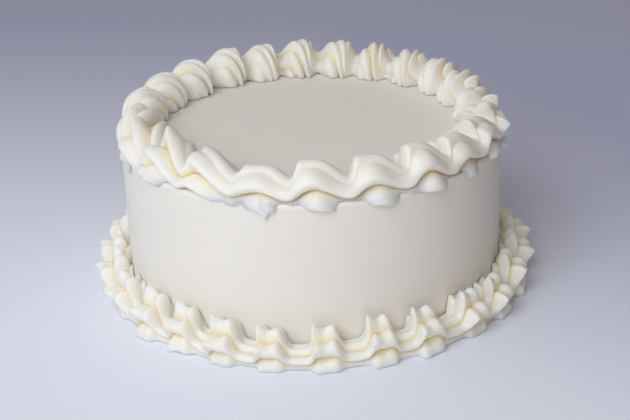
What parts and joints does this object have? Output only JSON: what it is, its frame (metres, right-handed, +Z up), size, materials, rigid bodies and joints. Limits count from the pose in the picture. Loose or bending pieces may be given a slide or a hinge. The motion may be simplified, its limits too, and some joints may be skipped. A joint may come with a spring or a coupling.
{
  "type": "layer cake",
  "caption": "Round iced cake with smooth straight sides, a flat top, and a star-piped shell border round its rim and round its foot.",
  "frame": {"origin": "centre of the flat underside of the cake, on the surface that it stands on", "axes": "+Z up along the cake's axis; -Y is the side that faces the viewer and +X is to the viewer's right"},
  "size_m": [0.2471, 0.2474, 0.1066],
  "materials": {
    "smooth_icing": "ivory buttercream smoothed with a scraper, soft satin",
    "top_piping": "ivory buttercream piped through a star nozzle, soft satin",
    "base_piping": "ivory buttercream piped through a star nozzle, soft satin"
  },
  "bodies": {
    "root": {"frosted_cake": "smooth_icing", "top_border": "top_piping", "base_border": "base_piping"}
  },
  "joints": []
}
